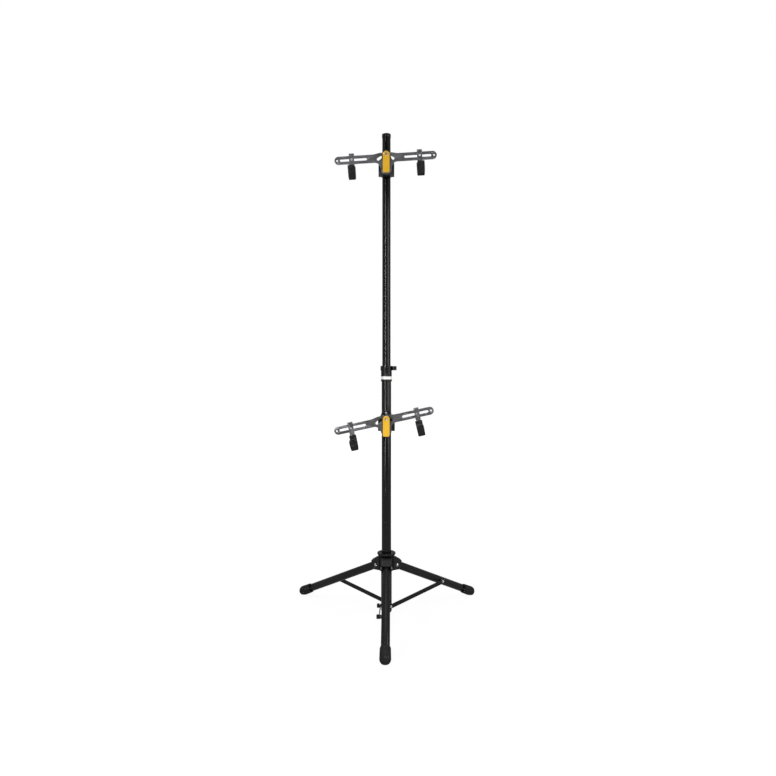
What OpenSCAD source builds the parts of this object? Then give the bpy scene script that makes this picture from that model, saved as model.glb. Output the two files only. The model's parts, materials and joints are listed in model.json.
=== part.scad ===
// Free-standing storage tower for two bicycles: folding tripod, telescoping mast and two hook arms.
// The floor is z = 0, the front is -Y, and the origin is the middle of the footprint.

/* [Mast] */
// Overall height from the floor to the top of the cap
mast_h = 2020; // [1900:10:2100]
// Outer diameter of the lower tube
lower_d = 40; // [38:0.5:44]
// Wall of the lower tube
lower_wall = 1.5; // [1.2:0.1:2]
// Height of the lower tube's bottom end above the floor
lower_z = 12; // [10:1:16]
// Height of the lower tube's top end above the floor
lower_top = 1034; // [1000:2:1060]
// Outer diameter of the upper tube
upper_d = 35; // [32:0.5:35.5]
// Wall of the upper tube
upper_wall = 1.75; // [1.2:0.05:2.5]
// Height of the upper tube's bottom end when the tower is set up
upper_z = 640; // [600:5:700]
// Length of the plugs and bushes inside the tubes
bush_len = 30; // [20:1:60]
// Height of the top cap's skirt
cap_h = 9; // [6:1:14]
// How far the cap's skirt stands proud of the upper tube
cap_lip = 1; // [0.5:0.1:2]
// Rise of the cap's dome
cap_dome = 3; // [2:0.5:5]
// Radial clearance of every running fit
running = 0.05; // [0.02:0.01:0.09]
// Gap between faces that pass each other
face_gap = 0.2; // [0.15:0.05:0.3]

/* [Height clamp] */
// Height of the clamp body
clamp_h = 65; // [60:1:74]
// How far the clamp rises above the lower tube
clamp_over = 15; // [13:0.5:18]
// Wall of the clamp body around the lower tube
clamp_wall = 2.75; // [2.5:0.25:3.5]
// Height of the thick collar at the clamp's top
clamp_collar_h = 19; // [18:0.5:22]
// Radius of the thick collar
clamp_collar_r = 25; // [24.5:0.25:26]
// Distance from the mast axis to the pinch bolt
pinch_x = 29.5; // [29.5:0.5:32]
// Radius of the pinch bolt
pinch_r = 2.5; // [2:0.25:3]
// Width of the slits in the clamp
slit_w = 2.6; // [1.5:0.1:3]
// Height of the pale band
label_h = 12.5; // [8:0.5:16]
// Thickness of the pale band
label_t = 0.4; // [0.3:0.05:0.6]
// Height of the quick-release lever
quick_h = 17; // [15:0.5:18]
// Thickness of the quick-release lever's arm
quick_t = 5.5; // [4.5:0.25:7]

/* [Hub] */
// Height of the leg pins above the floor
hub_pin_z = 204.5; // [195:0.5:215]
// Distance from the mast axis to the leg pins
hub_pin_r = 41; // [41:0.5:46]
// Radius of the leg pins
hub_pin_rad = 4; // [3.5:0.25:5]
// Radius of the hub's body
hub_r = 29; // [28:0.5:31]
// Wall of the slide bush
bush_wall = 1.45; // [1.2:0.05:1.6]
// Thickness of a yoke's cheek
yoke_t = 4.3; // [3.5:0.1:5]
// Clearance between a yoke and its leg
yoke_gap = 0.4; // [0.3:0.05:0.6]
// How far the hub reaches below the leg pins
hub_below = 20.5; // [20:0.5:24]
// How far the hub reaches above the leg pins
hub_above = 38.5; // [37:0.5:42]
// Radius of the grip flange on top of the hub
grip_r = 39; // [34:0.5:42]
// Height of the grip flange
grip_h = 17; // [14:0.5:20]

/* [Legs] */
// Outer diameter of a leg tube
leg_d = 33; // [30:0.5:33]
// Wall of a leg tube
leg_wall = 2; // [1.5:0.1:2.5]
// Distance from the mast axis to the centre of a foot's round end
foot_reach = 443; // [430:1:480]
// Height of the centre of a foot's round end
foot_z = 15; // [13:0.5:17]
// Radius of a foot's round end
foot_r = 21; // [19.5:0.25:23]
// Length of a foot from its rim to its tip
foot_len = 68; // [60:1:80]
// Thickness of a foot's rim
foot_rim = 3.8; // [2.8:0.1:4.2]

/* [Braces] */
// Distance along a leg from the hub pin to the brace pivot
brace_pin_s = 257; // [250:1:270]
// Distance of the lower brace pins from the mast axis, along their leg
collar_pin_r = 8; // [6:0.5:10]
// Height of the lower brace pins above the floor
collar_pin_z = 34; // [32:0.5:36]
// Radius of the lower brace pins
collar_pin_rad = 3; // [2.5:0.25:3.5]
// Depth of a brace, a flat bar beside its leg
brace_h = 18; // [17:0.5:19]
// Thickness of a brace
brace_t = 2.5; // [2:0.1:3]
// Clearance between a brace and the collar's boss
brace_gap = 0.3; // [0.25:0.05:0.6]
// Radius of a brace rivet's shank
rivet_r = 4; // [3.5:0.25:4.5]
// Radius of a brace rivet's shoulder
shoulder_r = 7.5; // [7:0.25:8]
// Radius of the collar at the mast's foot
collar_r = 22.6; // [22.4:0.1:24]
// Height of the collar at the mast's foot
collar_h = 40; // [36:1:44]
// How far the collar's three bosses stand out
boss_rise = 0.8; // [0.6:0.1:1.5]
// Radius of the collar's bosses
boss_r = 7.5; // [7:0.25:7.75]

/* [Brace knobs] */
// Radius of the lock pin's knob
lock_knob_r = 9; // [8:0.5:10]
// Length of the lock pin's knob
lock_knob_len = 12; // [10:0.5:14]
// Radius of the pivot knob
pivot_knob_r = 8.5; // [8:0.5:10]
// Length of the pivot knob
pivot_knob_len = 9; // [8:0.5:12]

/* [Arm brackets] */
// Distance from the top of the mast down to the upper arm's bolt
upper_arm_drop = 122.5; // [100:0.5:400]
// Height of the lower arm's lever bolt above the floor
lower_arm_z = 831; // [800:1:860]
// Tilt of the upper arm, right side up
upper_tilt = 3.4; // [-20:0.1:20]
// Tilt of the lower arm, right side up
lower_tilt = 12.4; // [-20:0.1:20]
// Distance from the mast axis to the middle of the arm plate
stand_off = 80; // [76:1:90]
// Height of the bracket's ring on the tube
bracket_h = 64; // [60:1:70]
// Wall of the slide liner
liner_wall = 1.95; // [1.5:0.05:2.5]
// Wall of the bracket around the liner
bracket_wall = 5; // [4:0.25:6]
// How far the bracket's ears reach beyond its wall
ear_reach = 8; // [7.5:0.25:10]
// Width of the stand-off block
block_w = 36; // [34:1:38]
// Radius of the bracket's small bolts
ear_bolt_r = 2.5; // [2:0.25:3]

/* [Arm plates] */
// Overall length of an arm plate
plate_len = 416; // [410:1:440]
// Height of an arm
arm_h = 33; // [31:0.5:36]
// Metal left over the arc slot at the hump of the plate
hump_over = 9.25; // [6:0.25:14]
// Half length of the hump's flat top
hump_half = 25; // [15:1:35]
// Half length of the hump where it meets the arm
hump_foot = 48; // [38:1:60]
// Thickness of an arm plate
plate_t = 4; // [3:0.25:5]
// Distance from the tilt pivot up to the lever bolt
tilt_r = 50; // [48:0.5:52]
// Height of the lever bolt above the arm's centre line
bolt_rise = 6.6; // [5:0.2:8]
// Radius of the tilt pivot
pivot_r = 5; // [4:0.25:6]
// Radius of the lever stud
stud_r = 4; // [3.5:0.25:4.5]
// Half width of the arc slot
arc_half = 5.75; // [5.5:0.05:6]
// Angle from the middle of the arc slot to its end centre
arc_span = 37; // [35:0.5:38]
// Half width of the hook slots
slot_half = 5; // [4.75:0.05:5.5]
// Distance from the plate's middle to the inner end of a hook slot
slot_from = 76; // [74:0.5:80]
// Distance from the plate's middle to the outer end of a hook slot
slot_to = 186; // [183:0.5:187]
// Radius of the hole near each tip
tip_hole_r = 4; // [3:0.25:4.5]
// Distance from a plate's end to its tip hole
tip_hole_in = 11; // [10:0.25:12]
// Half width of the tongue at the tilt pivot
tongue_half = 22; // [20:0.5:24]
// Radius of the fillets between tongue and arms
tongue_fillet = 28; // [22:1:30]

/* [Levers] */
// Width of a clamp lever
lever_w = 27; // [24:0.5:30]
// Length of a clamp lever
lever_len = 84; // [75:1:90]
// Thickness of a clamp lever at its stud
lever_t = 12.6; // [11:0.2:14]
// Thickness of a clamp lever at its tip
lever_tip_t = 8.5; // [7:0.5:10]
// Thickness of the pressure collar under a lever
press_t = 9.8; // [8:0.2:12]

/* [Hooks] */
// Distance from the plate's middle to a hook's bolt
hook_x = 138; // [125:1:145]
// Width of a hook's steel strap
strap_w = 20.5; // [18:0.5:22]
// Thickness of a hook's steel strap
strap_t = 4; // [3:0.25:4.5]
// Inner radius of a hook's cradle
cradle_r = 23; // [20:0.5:26]
// Thickness of the rubber sleeve over all
sleeve_t = 11; // [10:0.25:12]
// Width of the rubber sleeve
sleeve_w = 28.5; // [26:0.5:32]
// Height of the bolt above the cradle's centre
cradle_drop = 56; // [52:0.5:62]
// Distance below the bolt where the sleeve starts
sleeve_start = 29; // [28:0.5:32]
// Distance below the bolt of the sleeve's front lip
lip_drop = 43; // [41:0.5:48]
// Radius of a hook's bolt
hook_bolt_r = 4; // [3:0.25:4.25]

/* [Hidden] */
$fn = 64;
over = 1;
far = 1500;
black = "#1d1d1f";
grey = "#616164";
rubber = "#2b2b2c";
silver = "#b8babd";
yellow = "#e4b63b";
white = "#f2f2f0";
front = -90;
right = 30;
left = 150;
lower_r = lower_d / 2;
lower_in = lower_r - lower_wall;
upper_r = upper_d / 2;
upper_in = upper_r - upper_wall;
upper_top = mast_h - cap_h - cap_dome;
upper_arm_z = mast_h - upper_arm_drop;
// The feet are 120 degrees apart, so the mast stands a quarter of their reach behind the middle.
mast_y = foot_reach / 4;
clamp_top = lower_top + clamp_over;
clamp_z = clamp_top - clamp_h;
collar_z = clamp_top - clamp_collar_h;
clamp_r = lower_r + clamp_wall;
pinch_z = clamp_top - clamp_collar_h / 2;
ear_x = pinch_x + pinch_r + 3;
ear_half = 9;
cam_y = -ear_half - 8;
cam_r = 7.4;
barrel_r = 4;
arm_in = ear_x + 2.6;
leg_r = leg_d / 2;
leg_slope = atan((hub_pin_z - foot_z) / (foot_reach - hub_pin_r));
leg_len = norm([foot_reach - hub_pin_r, hub_pin_z - foot_z]);
boss_out = collar_r + boss_rise;
brace_in = boss_out + brace_gap;
brace_out = brace_in + brace_t;
brace_face = brace_out + face_gap;
brace_pin_r = hub_pin_r + brace_pin_s * cos(leg_slope);
brace_pin_z = hub_pin_z - brace_pin_s * sin(leg_slope);
brace_len = norm([brace_pin_r - collar_pin_r, brace_pin_z - collar_pin_z]);
brace_slope = atan2(brace_pin_z - collar_pin_z, brace_pin_r - collar_pin_r);
bush_r = lower_r + running + bush_wall;
yoke_in = leg_r + yoke_gap;
yoke_out = yoke_in + yoke_t;
hub_z = hub_pin_z - hub_below;
hub_top = hub_pin_z + hub_above;
arm_line = tilt_r - bolt_rise;
plate_front = stand_off + plate_t / 2;
plate_back = stand_off - plate_t / 2;
lever_back = plate_front + face_gap + press_t + face_gap;
cradle_y = plate_front + face_gap + strap_t + 3.5 + sleeve_t / 2 - strap_t / 2 + cradle_r;
steel_r = cradle_r + sleeve_t / 2;

module at_mast(z = 0) translate([0, mast_y, z]) children();

// A ring about the Z axis
module ring(r_out, r_in, h) {
    difference() {
        cylinder(r = r_out, h = h);
        translate([0, 0, -over]) cylinder(r = r_in, h = h + 2 * over);
    }
}

// A round bar along Y from y0 to y1
module bar_y(r, y0, y1) translate([0, y0, 0]) rotate([-90, 0, 0]) cylinder(r = r, h = y1 - y0);

// A block from one corner to the other
module block(lo, hi) translate(lo) cube(hi - lo);

// An outline in the X-Z plane, extruded along Y from y0 to y1
module sheet_y(y0, y1) translate([0, y1, 0]) rotate([90, 0, 0]) linear_extrude(y1 - y0) children();

// Mast

module lower_tube() color(black) at_mast(lower_z) ring(lower_r, lower_in, lower_top - lower_z);

module base_plug() {
    flange_t = 5;
    color(rubber) at_mast(lower_z) {
        translate([0, 0, -flange_t]) cylinder(r = lower_r + 1, h = flange_t);
        cylinder(r = lower_in, h = bush_len - 2);
    }
}

module upper_tube() color(black) at_mast(upper_z) ring(upper_r, upper_in, upper_top - upper_z);

module tube_bush() {
    flange_t = 12;
    color(rubber) at_mast(upper_z) difference() {
        union() {
            translate([0, 0, -flange_t]) cylinder(r = lower_in - running, h = flange_t);
            cylinder(r = upper_in, h = bush_len);
        }
        translate([0, 0, -flange_t - over])
            cylinder(r = upper_in / 2, h = flange_t + bush_len + 2 * over);
    }
}

module top_cap() {
    skirt_r = upper_r + cap_lip;
    dome_r = (skirt_r * skirt_r + cap_dome * cap_dome) / (2 * cap_dome);
    color(black) at_mast(upper_top) {
        difference() {
            translate([0, 0, -cap_h / 2]) cylinder(r = skirt_r, h = cap_h * 1.5);
            translate([0, 0, -cap_h]) cylinder(r = upper_r, h = cap_h);
        }
        translate([0, 0, -20]) cylinder(r = upper_in, h = 20 + over);
        intersection() {
            translate([0, 0, cap_h + cap_dome - dome_r]) sphere(r = dome_r, $fn = 128);
            translate([0, 0, cap_h]) cylinder(r = skirt_r, h = cap_dome);
        }
    }
}

// Height clamp with its quick-release lever

module clamp_ears() {
    block([lower_r, -ear_half, collar_z + over], [ear_x, ear_half, clamp_top - over]);
}

module clamp_sleeve() {
    lip = 0.8;
    color(black) at_mast() difference() {
        union() {
            translate([0, 0, clamp_z]) cylinder(r = clamp_r, h = clamp_h);
            translate([0, 0, clamp_z]) cylinder(r = clamp_r + lip, h = 4);
            translate([0, 0, collar_z]) cylinder(r = clamp_collar_r, h = clamp_collar_h);
            clamp_ears();
        }
        translate([0, 0, clamp_z - over]) cylinder(r = lower_r, h = lower_top - clamp_z + over);
        translate([0, 0, lower_top - over]) cylinder(r = upper_r + running, h = clamp_over + 2 * over);
        block([lower_r - 5, -slit_w / 2, collar_z - 8], [ear_x + over, slit_w / 2, clamp_top + over]);
        block([3 - slit_w / 2, -clamp_collar_r - over, collar_z - 8],
            [3 + slit_w / 2, -lower_r + 5, clamp_top + over]);
        translate([3, 0, collar_z - 8]) bar_y(2.2, -clamp_collar_r - over, -lower_r + 5);
        translate([pinch_x, 0, pinch_z]) bar_y(pinch_r, -ear_half - over, ear_half + over);
        translate([9, 0, pinch_z - 2]) bar_y(2.5, -clamp_collar_r, -clamp_r + 1.5);
    }
}

module clamp_label_band() {
    color(white) at_mast(clamp_z + 8.5) ring(clamp_r + label_t, clamp_r + running, label_h);
}

module clamp_hardware() {
    color(silver) at_mast() {
        translate([pinch_x, 0, pinch_z]) {
            bar_y(pinch_r, cam_y, ear_half + 4.5);
            translate([0, ear_half, 0]) rotate([-90, 0, 0]) cylinder(r = 4.5, h = 4, $fn = 6);
            translate([0, cam_y, -quick_h / 2]) cylinder(r = barrel_r, h = quick_h);
        }
        translate([9, 0, pinch_z - 2]) bar_y(2.5, -clamp_collar_r + 0.4, -clamp_r + 1.5);
    }
}

module clamp_lever() {
    gap = 2 * pinch_r + 1.6;
    color(black) at_mast(pinch_z) difference() {
        union() {
            translate([pinch_x, cam_y, -quick_h / 2]) difference() {
                cylinder(r = cam_r, h = quick_h);
                translate([0, 0, (quick_h - gap) / 2]) cylinder(r = cam_r + over, h = gap);
            }
            translate([0, 0, -quick_h / 2]) linear_extrude(quick_h) difference() {
                intersection() {
                    circle(r = arm_in + quick_t);
                    polygon([[0, 0], [far * cos(-25), far * sin(-25)], [far, far],
                        [far * cos(60), far * sin(60)]]);
                }
                circle(r = arm_in);
            }
        }
        translate([pinch_x, cam_y, -quick_h]) cylinder(r = barrel_r + running, h = 2 * quick_h);
    }
}

// Tripod hub and its three yokes

module hub_outline() {
    reach = hub_pin_r + 22;
    polygon([[bush_r + over, hub_z], [hub_pin_r + 13, hub_z], [reach - 2, hub_z + 8],
        [reach, hub_pin_z + 15], [hub_pin_r + 13, hub_top - 13], [hub_pin_r - 8, hub_top],
        [bush_r + over, hub_top]]);
}

// The inside of a yoke: a slot that is open below and outwards, under a sloping roof
module yoke_slot() {
    reach = hub_pin_r + 22;
    roof = 5;
    polygon([[hub_pin_r - leg_r - 0.6, hub_z - over], [reach + over, hub_z - over],
        [reach + over, hub_pin_z + 15 - roof], [hub_pin_r + 13, hub_top - 13 - roof],
        [hub_pin_r - 8, hub_top - roof], [hub_pin_r - leg_r - 0.6, hub_top - roof]]);
}

module hub() {
    color(black) at_mast() difference() {
        union() {
            translate([0, 0, hub_z]) cylinder(r = hub_r, h = hub_top - hub_z);
            for (az = [front, right, left]) rotate([0, 0, az]) sheet_y(-yoke_out, yoke_out) hub_outline();
        }
        for (az = [front, right, left]) rotate([0, 0, az]) {
            sheet_y(-yoke_in, yoke_in) yoke_slot();
            translate([hub_pin_r, 0, hub_pin_z]) bar_y(hub_pin_rad, -yoke_out - over, yoke_out + over);
        }
        translate([0, 0, hub_z - over]) cylinder(r = bush_r, h = hub_top - hub_z + 2 * over);
    }
}

module hub_bush() color(rubber) at_mast(hub_z) ring(bush_r, lower_r + running, hub_top - hub_z + grip_h);

module hub_grip() {
    color(black) at_mast(hub_top) rotate_extrude() polygon([[bush_r, 0], [hub_r - 2, 0],
        [hub_r - 2, 2], [grip_r - 5, 4], [grip_r, grip_h - 6], [grip_r, grip_h - 2],
        [grip_r - 2, grip_h], [bush_r, grip_h]]);
}

module hub_pins() {
    head_t = 2.4;
    color(silver) at_mast() for (az = [front, right, left])
        rotate([0, 0, az]) translate([hub_pin_r, 0, hub_pin_z]) {
            bar_y(hub_pin_rad, -yoke_out - head_t, yoke_out + head_t);
            for (side = [-1, 1]) scale([1, side, 1]) bar_y(hub_pin_rad + 2, yoke_out, yoke_out + head_t);
        }
}

// Legs: s runs along +X from the hub pin towards the foot

module along_leg(az) {
    at_mast() rotate([0, 0, az]) translate([hub_pin_r, 0, hub_pin_z]) rotate([0, leg_slope, 0]) children();
}

module leg(az) {
    color(black) along_leg(az) difference() {
        union() {
            sphere(r = leg_r);
            rotate([0, 90, 0]) cylinder(r = leg_r, h = leg_len - 6);
        }
        translate([leg_r + 6, 0, 0]) rotate([0, 90, 0]) cylinder(r = leg_r - leg_wall, h = leg_len);
        bar_y(hub_pin_rad + running, -leg_r - over, leg_r + over);
    }
}

module foot(az) {
    rim_s = leg_len + foot_r - foot_len;
    color(rubber) difference() {
        along_leg(az) rotate([0, 90, 0]) rotate_extrude() difference() {
            union() {
                polygon([[0, rim_s], [leg_r + foot_rim - 1, rim_s], [leg_r + foot_rim, rim_s + 2],
                    [foot_r, leg_len], [0, leg_len]]);
                intersection() {
                    translate([0, leg_len]) circle(r = foot_r);
                    translate([0, leg_len - over]) square([foot_r, foot_r + 2 * over]);
                }
            }
            translate([0, rim_s - over]) square([leg_r, leg_len - 6 - rim_s + over]);
        }
        block([-far, -far, -far], [far, far, 0]);
    }
}

// Braces: each is a flat bar on one side of its leg, and runs along +X from the collar's pin

module along_brace(az) {
    at_mast() rotate([0, 0, az]) translate([collar_pin_r, 0, collar_pin_z])
        rotate([0, -brace_slope, 0]) children();
}

module brace(az) {
    color(black) along_brace(az) difference() {
        union() {
            block([0, -brace_out, -brace_h / 2], [brace_len, -brace_in, brace_h / 2]);
            for (s = [0, brace_len]) translate([s, 0, 0]) bar_y(brace_h / 2, -brace_out, -brace_in);
        }
        bar_y(collar_pin_rad + face_gap, -brace_out - over, -brace_in + over);
        translate([brace_len, 0, 0]) bar_y(rivet_r + face_gap, -brace_out - over, -brace_in + over);
    }
}

// A rivet whose shoulder fills the space between a leg and its brace
module rivet(az, head_t = 2.5) {
    seat = -leg_r - face_gap;
    end = head_t > 0 ? -brace_face - head_t : -brace_out;
    color(silver) along_brace(az) translate([brace_len, 0, 0]) {
        bar_y(rivet_r, end, seat);
        bar_y(shoulder_r, -brace_in + face_gap, seat);
        if (head_t > 0) bar_y(rivet_r + 2, end, -brace_face);
    }
}

module base_collar() {
    color(black) at_mast() difference() {
        union() {
            translate([0, 0, lower_z]) cylinder(r = collar_r, h = collar_h);
            for (az = [front, right, left]) rotate([0, 0, az])
                translate([collar_pin_r, 0, collar_pin_z]) bar_y(boss_r, -boss_out, -lower_r / 2);
        }
        translate([0, 0, lower_z - over]) cylinder(r = lower_r, h = collar_h + 2 * over);
        for (az = [front, right, left]) rotate([0, 0, az]) translate([collar_pin_r, 0, collar_pin_z])
            bar_y(collar_pin_rad + face_gap, -boss_out - over, -lower_r / 2);
    }
}

module collar_pins() {
    head_t = 2;
    color(silver) at_mast() for (az = [right, left])
        rotate([0, 0, az]) translate([collar_pin_r, 0, collar_pin_z]) {
            bar_y(collar_pin_rad, -brace_face - head_t, -lower_r - face_gap);
            bar_y(collar_pin_rad + 2, -brace_face - head_t, -brace_face);
        }
}

// The front brace has a pull knob on its lower pin and a knob on its pivot at the leg

module lock_pin() {
    knob_y = brace_out + 2;
    color(black) at_mast() rotate([0, 0, front]) translate([collar_pin_r, 0, collar_pin_z]) {
        bar_y(collar_pin_rad, -knob_y - over, -lower_r - face_gap);
        bar_y(lock_knob_r, -knob_y - lock_knob_len, -knob_y);
    }
}

module pivot_knob() {
    color(black) along_leg(front) translate([brace_pin_s, 0, 0])
        bar_y(pivot_knob_r, -brace_face - pivot_knob_len, -brace_face);
}

// Arm brackets: the origin is on the mast axis at the height of the lever bolt

module bracket_outline(t) {
    wide = t + bracket_wall + ear_reach + 2;
    polygon([[-wide, -2], [-t - 3, 12], [-t + 1, 25], [-9, 29], [9, 29], [t - 1, 25], [t + 3, 12],
        [wide, -2], [wide, 10 - bracket_h], [-wide, 10 - bracket_h]]);
}

module bracket(t) {
    face = t + liner_wall + bracket_wall + 3;
    bolt_x = t + liner_wall + bracket_wall + ear_bolt_r;
    deep = 7;
    color(black) difference() {
        union() {
            sheet_y(-face, -t - liner_wall) bracket_outline(t);
            sheet_y(-t - liner_wall, -over) intersection() {
                bracket_outline(t);
                translate([-far, -far]) square([2 * far, far]);
            }
            block([-block_w / 2, face_gap - plate_back, -bracket_h], [block_w / 2, -face + over, 12]);
            translate([0, 0, 19]) bar_y(9, -face - 3, -face + over);
        }
        translate([0, 0, -bracket_h - over]) cylinder(r = t + liner_wall, h = bracket_h + 3 * over);
        for (side = [-1, 1], z = [-14, -bracket_h + 22])
            translate([side * bolt_x, 0, z]) bar_y(ear_bolt_r, -14, over);
        for (side = [-1, 1]) translate([side * block_w / 2, 0, 0])
            block([-deep, -plate_back + 8, -bracket_h + 8], [deep, -face - 4, 4]);
        bar_y(stud_r, -plate_back - over, -face - 6);
        translate([0, 0, -tilt_r]) bar_y(pivot_r, -plate_back - over, -face - 6);
        translate([0, 0, 19]) bar_y(3, -face - 3 - over, -face + 6);
    }
}

module bracket_cap(t) {
    bore = t + liner_wall;
    bolt_x = bore + bracket_wall + ear_bolt_r;
    color(black) difference() {
        union() {
            intersection() {
                translate([0, 0, 10 - bracket_h]) cylinder(r = bore + bracket_wall, h = bracket_h - 10);
                block([-far, over, -far], [far, far, far]);
            }
            block([-bolt_x - 6, over, 10 - bracket_h], [bolt_x + 6, 9, -4]);
        }
        translate([0, 0, -bracket_h - over]) cylinder(r = bore, h = bracket_h + 2 * over);
        for (side = [-1, 1], z = [-14, -bracket_h + 22])
            translate([side * bolt_x, 0, z]) bar_y(ear_bolt_r, 0, 9 + over);
    }
}

module liner(t) {
    color(rubber) translate([0, 0, 10 - bracket_h]) ring(t + liner_wall, t + running, bracket_h - 10);
}

module bracket_bolts(t) {
    face = t + liner_wall + bracket_wall + 3;
    bolt_x = t + liner_wall + bracket_wall + ear_bolt_r;
    color(silver) {
        for (side = [-1, 1], z = [-14, -bracket_h + 22]) translate([side * bolt_x, 0, z]) {
            bar_y(ear_bolt_r, -14, 9 + over);
            bar_y(ear_bolt_r + 2, 9, 13);
        }
        translate([0, 0, 19]) {
            bar_y(3, -face - 3 - over, -face + 6);
            bar_y(4.6, -face - 6, -face - 3);
        }
    }
}

module tilt_pivot(t) {
    face = t + liner_wall + bracket_wall + 3;
    head = plate_front + face_gap;
    color(silver) translate([0, 0, -tilt_r]) {
        bar_y(pivot_r, -head - over, -face - 6);
        bar_y(pivot_r + 4, -head - 4, -head);
    }
}

module lever_stud(t) {
    face = t + liner_wall + bracket_wall + 3;
    lever_front = lever_back + lever_t;
    color(silver) {
        bar_y(stud_r, -lever_front - face_gap - over, -face - 6);
        bar_y(stud_r + 1.2, -lever_front - face_gap - 2.6, -lever_front - face_gap);
    }
}

module pressure_collar() {
    back = plate_front + face_gap;
    color(black) difference() {
        translate([0, -back, 0]) rotate([90, 0, 0]) cylinder(r1 = 14, r2 = 12, h = press_t);
        bar_y(stud_r, -back - press_t - over, -back + over);
    }
}

// Pressure collars end a face gap behind the lever, which turns on the stud

module lever() {
    round_r = lever_w / 2;
    tip_z = lever_len - round_r;
    color(yellow) difference() {
        sheet_y(-lever_back - lever_t, -lever_back) difference() {
            union() {
                circle(r = round_r);
                translate([-round_r, -tip_z + 6]) square([lever_w, tip_z - 6]);
                translate([-round_r + 6, -tip_z]) square([lever_w - 12, tip_z]);
                for (side = [-1, 1]) translate([side * (round_r - 6), -tip_z + 6]) circle(r = 6);
            }
        }
        translate([0, -lever_back, -tip_z - over]) rotate([90, 0, 90])
            translate([0, 0, -round_r - over]) linear_extrude(lever_w + 2 * over)
                polygon([[over, 0], [over, tip_z * 0.8], [-lever_t + lever_tip_t, 0]]);
        bar_y(stud_r + running, -lever_back - lever_t - over, -lever_back + over);
    }
}

// Arm plates: the origin is the tilt pivot, on the mast axis

module plate_bar() {
    end_x = plate_len / 2 - arm_h / 2;
    low = arm_line - arm_h / 2;
    top = arm_line + arm_h / 2;
    hump = tilt_r + arc_half + hump_over;
    sheet_y(-plate_front, -plate_back)
        polygon([[-end_x, low], [-end_x, top], [-hump_foot, top], [-hump_half, hump], [hump_half, hump],
            [hump_foot, top],
            [end_x, top], [end_x, low]]);
    for (side = [-1, 1])
        sheet_y(-plate_front, -plate_back) translate([side * end_x, arm_line]) circle(r = arm_h / 2);
}

module plate_tongue() {
    low = arm_line - arm_h / 2;
    fillet = min(tongue_fillet, low - 2);
    difference() {
        union() {
            circle(r = tongue_half);
            translate([-tongue_half, 0]) square([2 * tongue_half, low + over]);
            translate([-tongue_half - fillet, low - fillet])
                square([2 * (tongue_half + fillet), fillet + over]);
        }
        for (side = [-1, 1])
            translate([side * (tongue_half + fillet), low - fillet]) circle(r = fillet);
    }
}

module hook_slot(side) {
    from = slot_from + slot_half;
    to = slot_to - slot_half;
    for (x = [from, to]) translate([side * x, arm_line]) circle(r = slot_half);
    translate([side * (from + to) / 2 - (to - from) / 2, arm_line - slot_half])
        square([to - from, 2 * slot_half]);
}

module arc_slot() {
    rotate(90 - arc_span) difference() {
        intersection() {
            circle(r = tilt_r + arc_half, $fn = 128);
            polygon([[0, 0], [far, 0], [far, far], [far * cos(2 * arc_span), far * sin(2 * arc_span)]]);
        }
        circle(r = tilt_r - arc_half, $fn = 128);
    }
    for (side = [-1, 1]) rotate(90 + side * arc_span) translate([tilt_r, 0]) circle(r = arc_half);
}

module plate() {
    color(grey) difference() {
        union() {
            plate_bar();
            sheet_y(-plate_front, -plate_back) plate_tongue();
        }
        sheet_y(-plate_front - over, -plate_back + over) {
            for (side = [-1, 1]) {
                translate([side * (plate_len / 2 - tip_hole_in), arm_line]) circle(r = tip_hole_r);
                hook_slot(side);
            }
            arc_slot();
            circle(r = pivot_r + running);
        }
    }
}

// Hooks: outlines in the Y-Z plane with the bolt's centre at z = 0

// An outline in the Y-Z plane, extruded along X
module across_x(w) rotate([90, 0, 90]) translate([0, 0, -w / 2]) linear_extrude(w) children();

module hook_steel() {
    y0 = plate_front + face_gap;
    y1 = plate_back - face_gap;
    up = arm_h / 2 + 8;
    half = strap_t / 2;
    r_in = steel_r - half;
    back = -cradle_y + steel_r;
    front = -cradle_y - steel_r;
    difference() {
        union() {
            across_x(strap_w)
                polygon([[-y0, up - strap_t], [-y0, -19], [back + half, -26],
                    [back + half, -cradle_drop], [-cradle_y, -cradle_drop],
                    [-cradle_y, -cradle_drop + r_in / 2], [back - half, -cradle_drop + r_in / 2],
                    [back - half, -27], [-y0 - strap_t, -20], [-y0 - strap_t, up],
                    [-y1 + strap_t, up], [-y1 + strap_t, up - 13], [-y1, up - 13],
                    [-y1, up - strap_t]]);
            across_x(strap_w) translate([-cradle_y, -cradle_drop]) circle(r = steel_r + half);
            across_x(strap_w) translate([front - half, -cradle_drop])
                square([steel_r, cradle_drop - lip_drop - 5]);
        }
        across_x(strap_w + over) translate([-cradle_y, -cradle_drop]) circle(r = r_in);
        across_x(strap_w + over) translate([-cradle_y - r_in, -cradle_drop]) square([2 * r_in, far]);
    }
}

// A U-shaped band, with its back and front legs rising by their own heights above its centre
module cradle(r_out, r_in, back_h, front_h) {
    translate([-cradle_y, -cradle_drop]) difference() {
        union() {
            circle(r = r_out);
            square([r_out, back_h]);
            translate([-r_out, 0]) square([r_out, front_h]);
        }
        circle(r = r_in);
        translate([-r_in, 0]) square([2 * r_in, far]);
    }
}

module hook_rubber() {
    half = sleeve_t / 2;
    lip_h = cradle_drop - lip_drop - half;
    cradle(cradle_r + sleeve_t, cradle_r, cradle_drop - sleeve_start, lip_h);
    translate([-cradle_y - steel_r, -lip_drop - half]) circle(r = half);
}

module strap() {
    color(grey) difference() {
        hook_steel();
        bar_y(hook_bolt_r, -plate_front - strap_t - 2 * over, -plate_front + over);
    }
}

module pad() {
    color(rubber) difference() {
        across_x(sleeve_w) hook_rubber();
        hook_steel();
    }
}

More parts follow.
